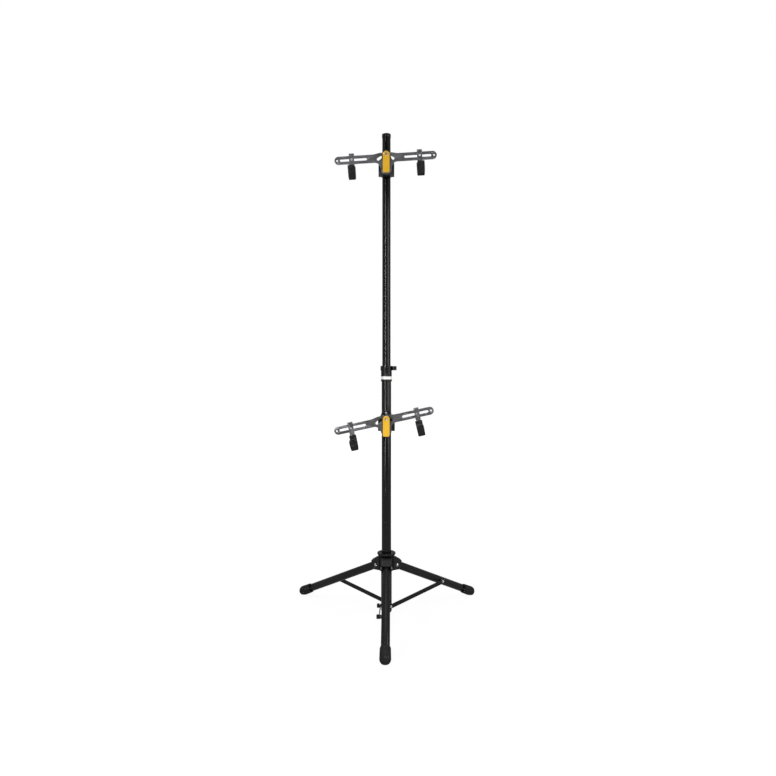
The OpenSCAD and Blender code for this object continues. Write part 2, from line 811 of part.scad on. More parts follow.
module hook_bolt() {
    seat = plate_front + face_gap + strap_t;
    washer = plate_back - face_gap;
    color(silver) {
        bar_y(hook_bolt_r, -seat - over, -washer + 9);
        bar_y(hook_bolt_r + 0.9, -seat - 2.8, -seat);
        bar_y(hook_bolt_r + 4, -washer, -washer + 1.6);
        translate([0, -washer + 1.6, 0]) rotate([-90, 0, 0]) cylinder(r = 7, h = 5, $fn = 6);
    }
}

// Places of the two arms

module arm(z) at_mast(z) children();

module tilted(z, tilt) at_mast(z - tilt_r) rotate([0, -tilt, 0]) children();

module hooked(z, tilt, side) tilted(z, tilt) translate([side * hook_x, 0, arm_line]) children();

lower_tube();
base_plug();
base_collar();
collar_pins();
clamp_sleeve();
clamp_hardware();
clamp_label_band();
clamp_lever();
upper_tube();
tube_bush();
top_cap();
hub();
hub_bush();
hub_grip();
hub_pins();
leg(front);  // leg_front
leg(right);  // leg_right
leg(left);  // leg_left
foot(front);  // foot_front
foot(right);  // foot_right
foot(left);  // foot_left
brace(front);  // brace_front
brace(right);  // brace_right
brace(left);  // brace_left
rivet(front, head_t = 0);  // rivet_front
rivet(right);  // rivet_right
rivet(left);  // rivet_left
pivot_knob();
lock_pin();
arm(upper_arm_z) bracket(upper_r);  // upper_bracket
arm(upper_arm_z) bracket_cap(upper_r);  // upper_bracket_cap
arm(upper_arm_z) liner(upper_r);  // upper_liner
arm(upper_arm_z) bracket_bolts(upper_r);  // upper_bracket_bolts
arm(upper_arm_z) tilt_pivot(upper_r);  // upper_tilt_pivot
arm(upper_arm_z) lever_stud(upper_r);  // upper_lever_stud
arm(upper_arm_z) pressure_collar();  // upper_pressure_collar
arm(upper_arm_z) lever();  // upper_lever
tilted(upper_arm_z, upper_tilt) plate();  // upper_plate
hooked(upper_arm_z, upper_tilt, -1) strap();  // upper_left_strap
hooked(upper_arm_z, upper_tilt, -1) pad();  // upper_left_pad
hooked(upper_arm_z, upper_tilt, -1) hook_bolt();  // upper_left_bolt
hooked(upper_arm_z, upper_tilt, 1) strap();  // upper_right_strap
hooked(upper_arm_z, upper_tilt, 1) pad();  // upper_right_pad
hooked(upper_arm_z, upper_tilt, 1) hook_bolt();  // upper_right_bolt
arm(lower_arm_z) bracket(lower_r);  // lower_bracket
arm(lower_arm_z) bracket_cap(lower_r);  // lower_bracket_cap
arm(lower_arm_z) liner(lower_r);  // lower_liner
arm(lower_arm_z) bracket_bolts(lower_r);  // lower_bracket_bolts
arm(lower_arm_z) tilt_pivot(lower_r);  // lower_tilt_pivot
arm(lower_arm_z) lever_stud(lower_r);  // lower_lever_stud
arm(lower_arm_z) pressure_collar();  // lower_pressure_collar
arm(lower_arm_z) lever();  // lower_lever
tilted(lower_arm_z, lower_tilt) plate();  // lower_plate
hooked(lower_arm_z, lower_tilt, -1) strap();  // lower_left_strap
hooked(lower_arm_z, lower_tilt, -1) pad();  // lower_left_pad
hooked(lower_arm_z, lower_tilt, -1) hook_bolt();  // lower_left_bolt
hooked(lower_arm_z, lower_tilt, 1) strap();  // lower_right_strap
hooked(lower_arm_z, lower_tilt, 1) pad();  // lower_right_pad
hooked(lower_arm_z, lower_tilt, 1) hook_bolt();  // lower_right_bolt
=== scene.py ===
# %% [markdown]
# # A bicycle storage tower, dressed in Blender
# The imported model is a fixed frame: every rigid solid already stands in its place and rides on
# its body. This lesson dresses that frame. Each step says what a piece or a finish is on the
# real tower, how it could be made, and why one way was chosen. The frame is loaded first.

# %% Load the imported model
import json
import math
import bmesh
import bpy
from mathutils import Matrix, Vector

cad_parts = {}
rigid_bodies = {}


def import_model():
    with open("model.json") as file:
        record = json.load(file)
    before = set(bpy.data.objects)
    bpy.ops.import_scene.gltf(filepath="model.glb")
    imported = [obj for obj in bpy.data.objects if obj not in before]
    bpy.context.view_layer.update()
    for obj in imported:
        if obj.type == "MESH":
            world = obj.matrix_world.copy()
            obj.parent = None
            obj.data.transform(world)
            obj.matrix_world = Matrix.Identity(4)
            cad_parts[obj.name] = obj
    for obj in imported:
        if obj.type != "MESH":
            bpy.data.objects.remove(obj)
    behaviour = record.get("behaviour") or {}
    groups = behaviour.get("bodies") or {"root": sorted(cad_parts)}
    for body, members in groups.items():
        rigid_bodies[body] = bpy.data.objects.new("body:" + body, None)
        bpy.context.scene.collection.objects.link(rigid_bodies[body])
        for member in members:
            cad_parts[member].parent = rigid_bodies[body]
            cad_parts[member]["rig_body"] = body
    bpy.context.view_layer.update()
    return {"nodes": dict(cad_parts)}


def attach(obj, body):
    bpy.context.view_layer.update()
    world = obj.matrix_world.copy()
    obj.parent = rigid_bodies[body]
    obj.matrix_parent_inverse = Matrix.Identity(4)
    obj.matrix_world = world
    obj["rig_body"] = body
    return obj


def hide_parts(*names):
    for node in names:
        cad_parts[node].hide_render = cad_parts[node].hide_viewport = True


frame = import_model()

MM = 0.001
WELD = 2e-6

# %% [markdown]
# ## Sizes that the pieces share
# The solids were drawn from named sizes, and the visible pieces repeat them in millimetres.
# The mast axis stands behind the middle of the footprint, and the three legs are a third of a
# turn apart, so one small function gives the matrix that lays a piece along any leg or brace.
# A gap of SNUG parts round pieces that stay put, SLIDE those that slide, and FACE_GAP flat ones.

# %% Sizes and places
MAST_Y = 110.75
LOWER_R, UPPER_R, LEG_R = 20.0, 17.5, 16.5
LOWER_BORE, LOWER_FOOT, LOWER_TOP = 18.5, 12.0, 1034.0
UPPER_BORE, UPPER_FOOT, UPPER_TOP = 15.75, 640.0, 2008.0
HUB_PIN_R, HUB_PIN_Z = 41.0, 204.5
HUB_Z, HUB_TOP = 184.0, 243.0
FOOT_REACH, FOOT_Z, FOOT_R, FOOT_LEN = 443.0, 15.0, 21.0, 68.0
COLLAR_PIN_R, COLLAR_PIN_Z, BRACE_PIN_S = 8.0, 34.0, 257.0
BRACE_IN, BRACE_OUT = 23.7, 26.2
COLLAR_R, COLLAR_TOP = 22.6, 52.0
LEG_ANGLES = {"front": -90.0, "right": 30.0, "left": 150.0}
ARMS = {"upper": (1897.5, 3.4, UPPER_R), "lower": (831.0, 12.4, LOWER_R)}
STAND_OFF, PLATE_T, FACE_GAP = 80.0, 4.0, 0.2
TILT_R, BOLT_RISE, HOOK_X, STRAP_T = 50.0, 6.6, 138.0, 4.0
CRADLE_R, SLEEVE_T, SLEEVE_W, CRADLE_DROP = 23.0, 11.0, 28.5, 56.0
SLEEVE_START, LIP_DROP = 29.0, 43.0
LEVER_FRONT = 92.2 + 12.6
CLAMP_Z, CLAMP_R, HUB_BORE = 984.0, 22.75, 21.5
SNUG, SLIDE = 0.05, 0.07
PLATE_FRONT = STAND_OFF + PLATE_T / 2 + FACE_GAP
PLATE_BACK = STAND_OFF - PLATE_T / 2 - FACE_GAP
BRACE_FACE = BRACE_OUT + FACE_GAP

leg_run, leg_drop = FOOT_REACH - HUB_PIN_R, HUB_PIN_Z - FOOT_Z
leg_slope, leg_len = math.atan(leg_drop / leg_run), math.hypot(leg_run, leg_drop)
brace_run = HUB_PIN_R + BRACE_PIN_S * math.cos(leg_slope) - COLLAR_PIN_R
brace_rise = HUB_PIN_Z - BRACE_PIN_S * math.sin(leg_slope) - COLLAR_PIN_Z
brace_len, brace_slope = math.hypot(brace_run, brace_rise), math.atan2(brace_rise, brace_run)


def shift(x, y, z):
    return Matrix.Translation((x, y, z))


def turn(degrees, axis):
    return Matrix.Rotation(math.radians(degrees), 4, axis)


def at_mast(z=0.0):
    return shift(0, MAST_Y, z)


def leg_side(name):
    """The mast's own frame, turned so that +X points the way that this leg points."""
    return at_mast() @ turn(LEG_ANGLES[name], "Z")


def along_leg(name):
    """+X runs down the leg from its hub pin, and Y is across it."""
    return leg_side(name) @ shift(HUB_PIN_R, 0, HUB_PIN_Z) @ Matrix.Rotation(leg_slope, 4, "Y")


def along_brace(name):
    """+X runs up the brace from its collar pin."""
    return (leg_side(name) @ shift(COLLAR_PIN_R, 0, COLLAR_PIN_Z)
            @ Matrix.Rotation(-brace_slope, 4, "Y"))


def on_plate(arm):
    """The arm plate's own frame: its origin is the tilt pivot, on the mast axis."""
    height, tilt = ARMS[arm][:2]
    return at_mast(height - TILT_R) @ turn(-tilt, "Y")


def on_hook(arm, side):
    """A hook's own frame: its origin is the hook bolt's middle."""
    return on_plate(arm) @ shift(side * HOOK_X, 0, TILT_R - BOLT_RISE)


print("leg slope", round(math.degrees(leg_slope), 2), "leg length", round(leg_len, 1),
      "brace length", round(brace_len, 1))

# %% [markdown]
# ## Colours and shader helpers
# A finish is a small network of shader nodes. Writing each link by hand hides the idea, so
# helpers do it. One adds a node and sets its inputs, or links them if a socket is given, and
# others add the kinds of node that come back often. The first one turns a six-digit colour
# read from a photograph into linear light.

# %% Shader helpers


def linear(code):
    channels = [int(code[i:i + 2], 16) / 255 for i in (0, 2, 4)]
    return tuple(c / 12.92 if c <= 0.04045 else ((c + 0.055) / 1.055) ** 2.4
                 for c in channels) + (1.0,)


def add(tree, kind, values=None, **settings):
    """Adds a node. Each value is a number, a colour or a socket to link."""
    made = tree.nodes.new(kind)
    for name, value in settings.items():
        setattr(made, name, value)
    for key, value in (values or {}).items():
        if isinstance(value, bpy.types.NodeSocket):
            tree.links.new(value, made.inputs[key])
        else:
            made.inputs[key].default_value = value
    return made


def calc(tree, operation, *values, **settings):
    """The result of a Math node on numbers or sockets."""
    return add(tree, "ShaderNodeMath", dict(enumerate(values)), operation=operation,
               **settings).outputs[0]


def noise(tree, place, scale, detail=2.0, roughness=0.5):
    return add(tree, "ShaderNodeTexNoise", {
        "Vector": place, "Scale": scale, "Detail": detail, "Roughness": roughness}).outputs["Fac"]


def ramp(tree, value, low, high, at_low=0.0, at_high=1.0, **settings):
    """Turns what lies between two levels into another range, and stays level beyond them."""
    return add(tree, "ShaderNodeMapRange", {
        "Value": value, "From Min": low, "From Max": high, "To Min": at_low, "To Max": at_high},
        **settings).outputs["Result"]


def mix(tree, factor, a, b):
    """Blends two colours. The mix node repeats its socket names, so they go by number."""
    return add(tree, "ShaderNodeMix", {0: factor, 6: a, 7: b}, data_type="RGBA").outputs[2]


def bare_tree(owner):
    """The emptied node tree of a new material or world."""
    owner.use_nodes = True
    owner.node_tree.nodes.clear()
    return owner.node_tree


def new_group(name, kind, inputs, outputs):
    """A node group. Inputs are (name, type, default) and outputs (name, type)."""
    tree = bpy.data.node_groups.new(name, kind + "NodeTree")
    for label, socket, default in inputs:
        made = tree.interface.new_socket(name=label, in_out="INPUT",
                                         socket_type="NodeSocket" + socket)
        if default is not None:
            made.default_value = default
    for label, socket in outputs:
        tree.interface.new_socket(name=label, in_out="OUTPUT", socket_type="NodeSocket" + socket)
    return tree, tree.nodes.new("NodeGroupInput").outputs, tree.nodes.new("NodeGroupOutput").inputs


print("a colour read as 808080 is", round(linear("808080")[0], 3), "in linear light")

# %% [markdown]
# ## Shared effects: grain, worn edges, dust
# Powder coat, moulded plastic and rubber differ in scale and depth, not in kind: each is a fine
# relief that also breaks up the gloss. That is one group, "Surface grain". Paint and plastic
# thin out where hands and straps rub, which is always at a convex edge, so "Worn edges" reads
# how pointed the surface is and breaks the line up with noise. "Settled dust" looks at which
# way the surface faces, because dust lies only on what faces up. Each group gives plain
# values, and the material decides what to do with them.

# %% Node groups for the finishes


def grain_group():
    tree, given, out = new_group("Surface grain", "Shader", [
        ("Scale", "Float", 900.0), ("Roughness", "Float", 0.4), ("Spread", "Float", 0.08)],
        [("Height", "Float"), ("Roughness", "Float"), ("Cloud", "Float")])
    place = add(tree, "ShaderNodeTexCoord").outputs["Object"]
    fine = noise(tree, place, given["Scale"], 2.0, 0.55)
    cloud = noise(tree, place, 22.0, 3.0, 0.6)
    centred = calc(tree, "SUBTRACT", calc(tree, "ADD", fine, cloud), 1.0)
    rough = calc(tree, "MULTIPLY_ADD", centred, given["Spread"], given["Roughness"])
    for label, value in (("Height", fine), ("Roughness", rough), ("Cloud", cloud)):
        tree.links.new(value, out[label])
    return tree


def broken_up(tree, given, where, detail, roughness, low, high):
    """Breaks a mask up with noise and scales it by the group's Amount."""
    place = add(tree, "ShaderNodeTexCoord").outputs["Object"]
    patches = ramp(tree, noise(tree, place, given["Scale"], detail, roughness), low, high)
    return calc(tree, "MULTIPLY", calc(tree, "MULTIPLY", where, patches), given["Amount"],
                use_clamp=True)


def edge_group():
    tree, given, out = new_group("Worn edges", "Shader", [
        ("From", "Float", 0.53), ("To", "Float", 0.62), ("Scale", "Float", 120.0),
        ("Amount", "Float", 0.5)], [("Mask", "Float")])
    pointed = add(tree, "ShaderNodeNewGeometry").outputs["Pointiness"]
    edge = ramp(tree, pointed, given["From"], given["To"])
    tree.links.new(broken_up(tree, given, edge, 4.0, 0.7, 0.38, 0.66), out["Mask"])
    return tree


def dust_group():
    tree, given, out = new_group("Settled dust", "Shader", [
        ("Amount", "Float", 0.1), ("Scale", "Float", 60.0)], [("Mask", "Float")])
    facing = add(tree, "ShaderNodeNewGeometry").outputs["Normal"]
    upward = add(tree, "ShaderNodeSeparateXYZ", {0: facing}).outputs["Z"]
    lying = ramp(tree, upward, 0.35, 0.95)
    tree.links.new(broken_up(tree, given, lying, 5.0, 0.75, 0.35, 0.8), out["Mask"])
    return tree


grain, worn_edges, dust = grain_group(), edge_group(), dust_group()
print("shader groups:", [g.name for g in (grain, worn_edges, dust)])

# %% [markdown]
# ## The finishes
# Every finish follows one recipe: a base colour that a slow cloud darkens and lightens a
# little, a lighter tone where edges are rubbed, a breath of dust on top, and the grain as bump
# and as a change in gloss. Writing the recipe once keeps the finishes comparable. On black
# parts the gloss fades towards the rim, or the white room would draw a bright outline. What
# is constant, such as metalness or coat, is set on the shader itself.

# %% The finish recipe
FINISHES = {}
GRAIN_DEPTH = 0.0002
DUST = linear("8f8c86")


def finish(name, colour, rubbed, rough, grain_scale, bump, spread=0.08, metallic=0.0, coat=0.0,
           coat_rough=0.1, cloud=0.06, wear=0.4, dusting=0.08, specular=0.5, rim=1.0):
    FINISHES[name] = bpy.data.materials.new(name)
    tree = bare_tree(FINISHES[name])
    relief = add(tree, "ShaderNodeGroup", {
        "Scale": grain_scale, "Roughness": rough, "Spread": spread}, node_tree=grain).outputs
    rub = add(tree, "ShaderNodeGroup", {"Amount": wear}, node_tree=worn_edges)
    lying = add(tree, "ShaderNodeGroup", {"Amount": dusting}, node_tree=dust)
    shades = [tuple(c * (1 + k) for c in linear(colour)[:3]) + (1.0,) for k in (-cloud, cloud)]
    tone = mix(tree, relief["Cloud"], *shades)
    worn = mix(tree, rub.outputs["Mask"], tone, linear(rubbed))
    dusty = mix(tree, lying.outputs["Mask"], worn, DUST)
    lift = add(tree, "ShaderNodeBump", {
        "Height": relief["Height"], "Strength": bump, "Distance": GRAIN_DEPTH})
    if rim < 1.0:
        edge_on = add(tree, "ShaderNodeLayerWeight", {"Blend": 0.5}).outputs["Facing"]
        specular = ramp(tree, edge_on, 0.2, 0.6, specular, specular * rim)
    shader = add(tree, "ShaderNodeBsdfPrincipled", {
        "Base Color": dusty, "Roughness": relief["Roughness"], "Normal": lift.outputs["Normal"],
        "Metallic": metallic, "Coat Weight": coat, "Coat Roughness": coat_rough,
        "Specular IOR Level": specular})
    add(tree, "ShaderNodeOutputMaterial", {"Surface": shader.outputs["BSDF"]})


finish("black_paint", "0b0b0c", "3e3e40", 0.2, 700.0, 0.01, spread=0.03, wear=0.3, dusting=0.03,
       specular=0.15, rim=0.08)
finish("black_plastic", "0e0e10", "363638", 0.36, 1400.0, 0.2, wear=0.3, dusting=0.05,
       specular=0.15, rim=0.1)
finish("grey_paint", "464648", "6c6c6f", 0.42, 1600.0, 0.12, metallic=0.35, spread=0.1,
       dusting=0.05)
finish("rubber", "19191a", "38383a", 0.7, 1100.0, 0.4, wear=0.25, dusting=0.06, specular=0.14,
       rim=0.2)
finish("bolt_steel", "8e9093", "b2b4b6", 0.4, 500.0, 0.08, metallic=1.0, spread=0.16,
       dusting=0.04)
finish("yellow_plastic", "e2b026", "f0cf72", 0.4, 1300.0, 0.06, spread=0.04, coat=0.15,
       coat_rough=0.25, wear=0.15, dusting=0.02, cloud=0.02)
finish("white_band", "eeeeec", "f6f6f4", 0.38, 900.0, 0.08, wear=0.2, dusting=0.05, cloud=0.02)
finish("dark_bolt", "1c1c1e", "4a4a4d", 0.38, 500.0, 0.08, metallic=0.6, spread=0.1,
       dusting=0.04)
print("finishes:", sorted(FINISHES))

# %% [markdown]
# ## From a modifier to a plain piece
# A piece can start as a Geometry Nodes tree or a stack of modifiers, but the tower needs plain
# closed meshes that ride on a body. One helper takes what the modifiers give, and another lays
# it in place, turns its faces outwards, marks its crisp edges, says which body it rides on,
# gives it its finish and hides the solids that it stands for.

# %% Helpers that settle a piece
tri_total = 0


def placed(name, data):
    """A new object in the scene."""
    thing = bpy.data.objects.new(name, data)
    bpy.context.scene.collection.objects.link(thing)
    return thing


def evaluated(source):
    """The mesh that an object's modifiers give, as a plain mesh. The source is removed."""
    depsgraph = bpy.context.evaluated_depsgraph_get()
    depsgraph.update()
    result = bpy.data.meshes.new_from_object(source.evaluated_get(depsgraph))
    stale = source.data
    bpy.data.objects.remove(source)
    if stale.users == 0:
        bpy.data.meshes.remove(stale)
    return result


def settle(mesh, name, body, slot, nodes=(), place=None, crisp=32.0):
    """Turns a mesh in millimetres into a finished piece in the tower's own frame."""
    global tri_total
    work = bmesh.new()
    work.from_mesh(mesh)
    if place is not None:
        work.transform(place)
    work.transform(Matrix.Scale(MM, 4))
    bmesh.ops.remove_doubles(work, verts=work.verts, dist=WELD)
    bmesh.ops.recalc_face_normals(work, faces=work.faces)
    tri_total += sum(len(f.verts) - 2 for f in work.faces)
    work.to_mesh(mesh)
    work.free()
    mesh.shade_smooth()
    mesh.set_sharp_from_angle(angle=math.radians(crisp))
    mesh.materials.clear()
    mesh.materials.append(FINISHES[slot])
    piece = placed(name, mesh)
    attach(piece, body)
    if nodes:
        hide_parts(*nodes)
    return piece


def drive(tree, mesh, values):
    """Runs a Geometry Nodes tree on a mesh, with its inputs set by name, and gives the result."""
    source = placed("source", mesh)
    modifier = source.modifiers.new("make", "NODES")
    modifier.node_group = tree
    for item in tree.interface.items_tree:
        if item.item_type == "SOCKET" and item.in_out == "INPUT" and item.name in values:
            modifier[item.identifier] = values[item.name]
    return evaluated(source)


def outline_mesh(points, label, values):
    """A chain of edges through points, with one float value stored on each vertex."""
    mesh = bpy.data.meshes.new("outline")
    mesh.from_pydata(points, [(i, i + 1) for i in range(len(points) - 1)], [])
    mesh.attributes.new(label, "FLOAT", "POINT").data.foreach_set("value", values)
    return mesh


def new_maker(name, inputs):
    """A Geometry Nodes tree that takes a finish besides its own inputs, and gives a mesh."""
    return new_group(name, "Geometry", inputs + [("Finish", "Material", None)],
                     [("Geometry", "Geometry")])


def stored(tree, name, kind="FLOAT"):
    """A value that a mesh carries on its points under a name."""
    return add(tree, "GeometryNodeInputNamedAttribute", {"Name": name},
               data_type=kind).outputs["Attribute"]


def close_tree(tree, given, out, geometry):
    """Every tree ends alike: what it made becomes real and gets its finish."""
    real = add(tree, "GeometryNodeRealizeInstances", {"Geometry": geometry}).outputs[0]
    coloured = add(tree, "GeometryNodeSetMaterial", {
        "Geometry": real, "Material": given["Finish"]})
    tree.links.new(coloured.outputs[0], out["Geometry"])
    return tree


# %% [markdown]
# ## Turned pieces
# Tubes, knobs, feet, screw heads and collars are all round about an axis, as if from a lathe.
# Blender's Screw modifier could spin an outline, but the knobs are fluted, so their radius
# changes with the angle. A Geometry Nodes tree does both: a flat grid has as many rows as the
# outline has points, each grid point reads its row's radius and height, and it moves to its
# place round the axis. Where flutes are asked for, a cosine wave draws the radius in. The seam
# and the poles are then merged, so that the shell is closed.

# %% The lathe tree


def lathe_tree():
    tree, given, out = new_maker("Turned piece", [
        ("Outline", "Geometry", None), ("Sides", "Int", 64), ("Flutes", "Int", 0),
        ("Flute depth", "Float", 0.0)])
    outline, sides = given["Outline"], given["Sides"]
    rows = add(tree, "GeometryNodeAttributeDomainSize", {"Geometry": outline}).outputs[0]
    columns = calc(tree, "ADD", sides, 1.0)
    grid = add(tree, "GeometryNodeMeshGrid", {"Vertices X": columns, "Vertices Y": rows})
    index = add(tree, "GeometryNodeInputIndex").outputs[0]
    row = calc(tree, "MODULO", index, rows)
    column = calc(tree, "FLOOR", calc(tree, "DIVIDE", index, rows))
    angle = calc(tree, "MULTIPLY", calc(tree, "DIVIDE", column, sides), 2 * math.pi)

    def at_row(value, kind):
        read = add(tree, "GeometryNodeSampleIndex", {
            "Geometry": outline, "Value": value, "Index": row}, data_type=kind)
        return read.outputs["Value"]

    place = add(tree, "GeometryNodeInputPosition").outputs[0]
    point = add(tree, "ShaderNodeSeparateXYZ", {0: at_row(place, "FLOAT_VECTOR")}).outputs
    fluted = at_row(stored(tree, "fluted"), "FLOAT")
    wave = calc(tree, "COSINE", calc(tree, "MULTIPLY", angle, given["Flutes"]))
    valley = calc(tree, "MULTIPLY_ADD", wave, -0.5, 0.5)
    cut = calc(tree, "MULTIPLY", calc(tree, "MULTIPLY", valley, given["Flute depth"]), fluted)
    radius = calc(tree, "SUBTRACT", point["X"], cut)
    x, y = (calc(tree, "MULTIPLY", radius, calc(tree, way, angle)) for way in ("COSINE", "SINE"))
    target = add(tree, "ShaderNodeCombineXYZ", {0: x, 1: y, 2: point["Z"]}).outputs[0]
    moved = add(tree, "GeometryNodeSetPosition", {
        "Geometry": grid.outputs["Mesh"], "Position": target}).outputs[0]
    merged = add(tree, "GeometryNodeMergeByDistance", {
        "Geometry": moved, "Distance": 0.0005}).outputs[0]
    return close_tree(tree, given, out, merged)


LATHE = lathe_tree()
NEARLY_STRAIGHT = math.radians(172)


def rounded(points, radius, steps=4, closed=False):
    """Rounds the corners of an outline of (radius, height) points. Ends stay as they are."""
    result = []
    count = len(points)
    for i, here in enumerate(points):
        if not closed and i in (0, count - 1):
            result.append(Vector(here))
            continue
        here = Vector(here)
        before, after = Vector(points[i - 1]), Vector(points[(i + 1) % count])
        to_a, to_b = before - here, after - here
        corner = to_a.angle(to_b, math.pi)
        if corner > NEARLY_STRAIGHT or to_a.length < 1e-6 or to_b.length < 1e-6:
            result.append(here)
            continue
        reach = min(radius / math.tan(corner / 2), to_a.length * 0.45, to_b.length * 0.45)
        start, end = here + to_a.normalized() * reach, here + to_b.normalized() * reach
        for k in range(steps + 1):
            t = k / steps
            result.append(start * (1 - t) ** 2 + here * 2 * t * (1 - t) + end * t ** 2)
    if closed:
        result.append(result[0].copy())
    return [(p.x, p.y) for p in result]


def lathe_mesh(outline, slot, sides=96, flutes=0, depth=0.0, fluted=(0.0, -1.0)):
    """outline is (radius, height) in mm; fluted is a range of heights that the flutes cover."""
    low, high = fluted
    reach = max(r for r, h in outline)
    masks = [1.0 if low <= h <= high and r > 0.75 * reach else 0.0 for r, h in outline]
    mesh = outline_mesh([(r, 0.0, h) for r, h in outline], "fluted", masks)
    return drive(LATHE, mesh, {
        "Sides": sides, "Flutes": flutes, "Flute depth": depth, "Finish": FINISHES[slot]})


def turned(name, body, slot, outline, place, nodes=(), crisp=32.0, **shape):
    return settle(lathe_mesh(outline, slot, **shape), name, body, slot, nodes, place, crisp)


def skin(node, slot, outline, place=None, **shape):
    """A turned piece that stands for a solid and rides where that rides, round the mast's axis
    unless a place is given."""
    return turned(node + "_skin", frame["nodes"][node]["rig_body"], slot, outline,
                  at_mast() if place is None else place, (node,), **shape)


print("rounding a square corner gives", len(rounded([(0, 0), (5, 0), (5, 5)], 1.0)), "points")

# %% [markdown]
# ## Softened copies of the rigid solids
# Pressed plates and moulded brackets already have their true shape in the solids, but every
# real edge is broken: paint flows round it and moulds have a radius. A solid's mesh arrives as
# loose triangles, so a copy is merged and its flat faces are joined first. Then a Bevel modifier
# rounds each crisp edge by 0.3 to 1.6 mm, which is what catches the light.

# %% Softening


def softened(node, slot, width, steps, angle=30.0):
    """A bevelled copy of a solid, riding where the solid rides. Width is in millimetres."""
    cad = frame["nodes"][node]
    work = bmesh.new()
    work.from_mesh(cad.data)
    work.transform(Matrix.Scale(1 / MM, 4))
    bmesh.ops.remove_doubles(work, verts=work.verts, dist=0.004)
    bmesh.ops.dissolve_limit(work, angle_limit=math.radians(0.4), verts=work.verts,
                             edges=work.edges, delimit=set())
    mesh = bpy.data.meshes.new(node)
    work.to_mesh(mesh)
    work.free()
    source = placed("source", mesh)
    bevel = source.modifiers.new("edges", "BEVEL")
    bevel.width, bevel.segments = width, steps
    bevel.limit_method, bevel.angle_limit = "ANGLE", math.radians(angle)
    bevel.miter_outer = "MITER_ARC"
    bevel.use_clamp_overlap = True
    return settle(evaluated(source), node + "_skin", cad["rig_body"], slot, (node,))


print("softening is ready for", sum(n.endswith("plate") for n in frame["nodes"]), "plates")

# %% [markdown]
# ## The mast
# Two painted steel tubes slide one in the other, and a plastic cap closes the top. A tube is
# the lathe's simplest outline: a closed loop up the outside and down the inside, with the cut
# ends broken by half a millimetre. The loop keeps the wall, so the tube is a real tube.

# %% Mast tubes, cap and plug


def tube_outline(r_out, r_in, low, high, edge=0.5):
    return rounded([(r_out, low), (r_out, high), (r_in, high), (r_in, low)], edge, 3, True)


skin("lower_tube", "black_paint", tube_outline(LOWER_R, LOWER_BORE, LOWER_FOOT, LOWER_TOP))
skin("upper_tube", "black_paint", tube_outline(UPPER_R, UPPER_BORE, UPPER_FOOT, UPPER_TOP))
cap_outline = [(0, UPPER_TOP - 19.8), (15.6, UPPER_TOP - 19.8), (15.6, UPPER_TOP - 0.2),
               (17.6, UPPER_TOP - 0.2), (17.6, UPPER_TOP - 4.4), (18.5, UPPER_TOP - 4.4),
               (18.5, UPPER_TOP + 9.0), (16.6, UPPER_TOP + 9.7), (11.5, UPPER_TOP + 10.9),
               (5.0, UPPER_TOP + 11.8), (0, UPPER_TOP + 12.0)]
skin("top_cap", "black_plastic", rounded(cap_outline, 0.7, 3))
plug_outline = [(0, 7.0), (21.0, 7.0), (21.0, LOWER_FOOT), (LOWER_BORE, LOWER_FOOT),
                (LOWER_BORE, 40.0), (0, 40.0)]
skin("base_plug", "black_plastic", rounded(plug_outline, 0.8, 3), sides=64)
print("mast pieces so far:", tri_total, "triangles")

# %% [markdown]
# ## The tripod hub
# The hub is one moulding with three forks that hold the legs' upper ends, and a flared grip
# above it that a hand pushes up to fold the tripod. The moulding has flat faces, slots and a
# sloping roof, so it is a softened copy. The grip is turned, with a soft rim.

# %% Hub, grip and bush
softened("hub", "black_plastic", width=0.9, steps=3)
grip_top = HUB_TOP + 17.0
grip_outline = [(HUB_BORE, HUB_TOP), (27.0, HUB_TOP), (27.0, HUB_TOP + 2.0),
                (34.0, HUB_TOP + 4.0), (39.0, HUB_TOP + 11.0), (39.0, HUB_TOP + 15.0),
                (37.0, grip_top), (HUB_BORE, grip_top)]
skin("hub_grip", "black_plastic", rounded(grip_outline, 1.6, 4, True))
skin("hub_bush", "black_plastic",
     tube_outline(HUB_BORE - SNUG, LOWER_R + SLIDE, HUB_Z, grip_top, 0.3))

# %% [markdown]
# ## The legs and their rubber feet
# Each leg is a painted tube. Its upper end is closed and rounded so that it can swing in its
# fork, and its lower end runs into a thick rubber boot with a domed sole. The tubes are softened
# copies, which keep their pin holes. The boots are turned, and cut flat where they stand,
# because soft rubber settles on the floor.

# %% Legs and boots
for name in LEG_ANGLES:
    softened("leg_" + name, "black_paint", width=0.35, steps=1, angle=50)

FACE_DOWN = turn(90, "Y")
boot_top = leg_len + FOOT_R - FOOT_LEN
boot_r, leg_in_boot = LEG_R + 3.8, leg_len - 6.0
dome = [(FOOT_R * math.cos(a), leg_len + FOOT_R * math.sin(a))
        for a in [math.radians(k * 7.5) for k in range(1, 13)]]
boot_outline = [(LEG_R + SNUG, boot_top), (boot_r - 2.6, boot_top), (boot_r - 0.7, boot_top + 1.4),
                (boot_r, boot_top + 4.5), (FOOT_R - 0.4, leg_len - 22.0),
                (FOOT_R - 0.1, leg_len - 8.0), (FOOT_R, leg_len)]
boot_outline = rounded(boot_outline + dome[:-1] + [(0.0, leg_len + FOOT_R)], 0.8, 3)
boot_outline += [(0.0, leg_in_boot), (LEG_R + SNUG, leg_in_boot), boot_outline[0]]


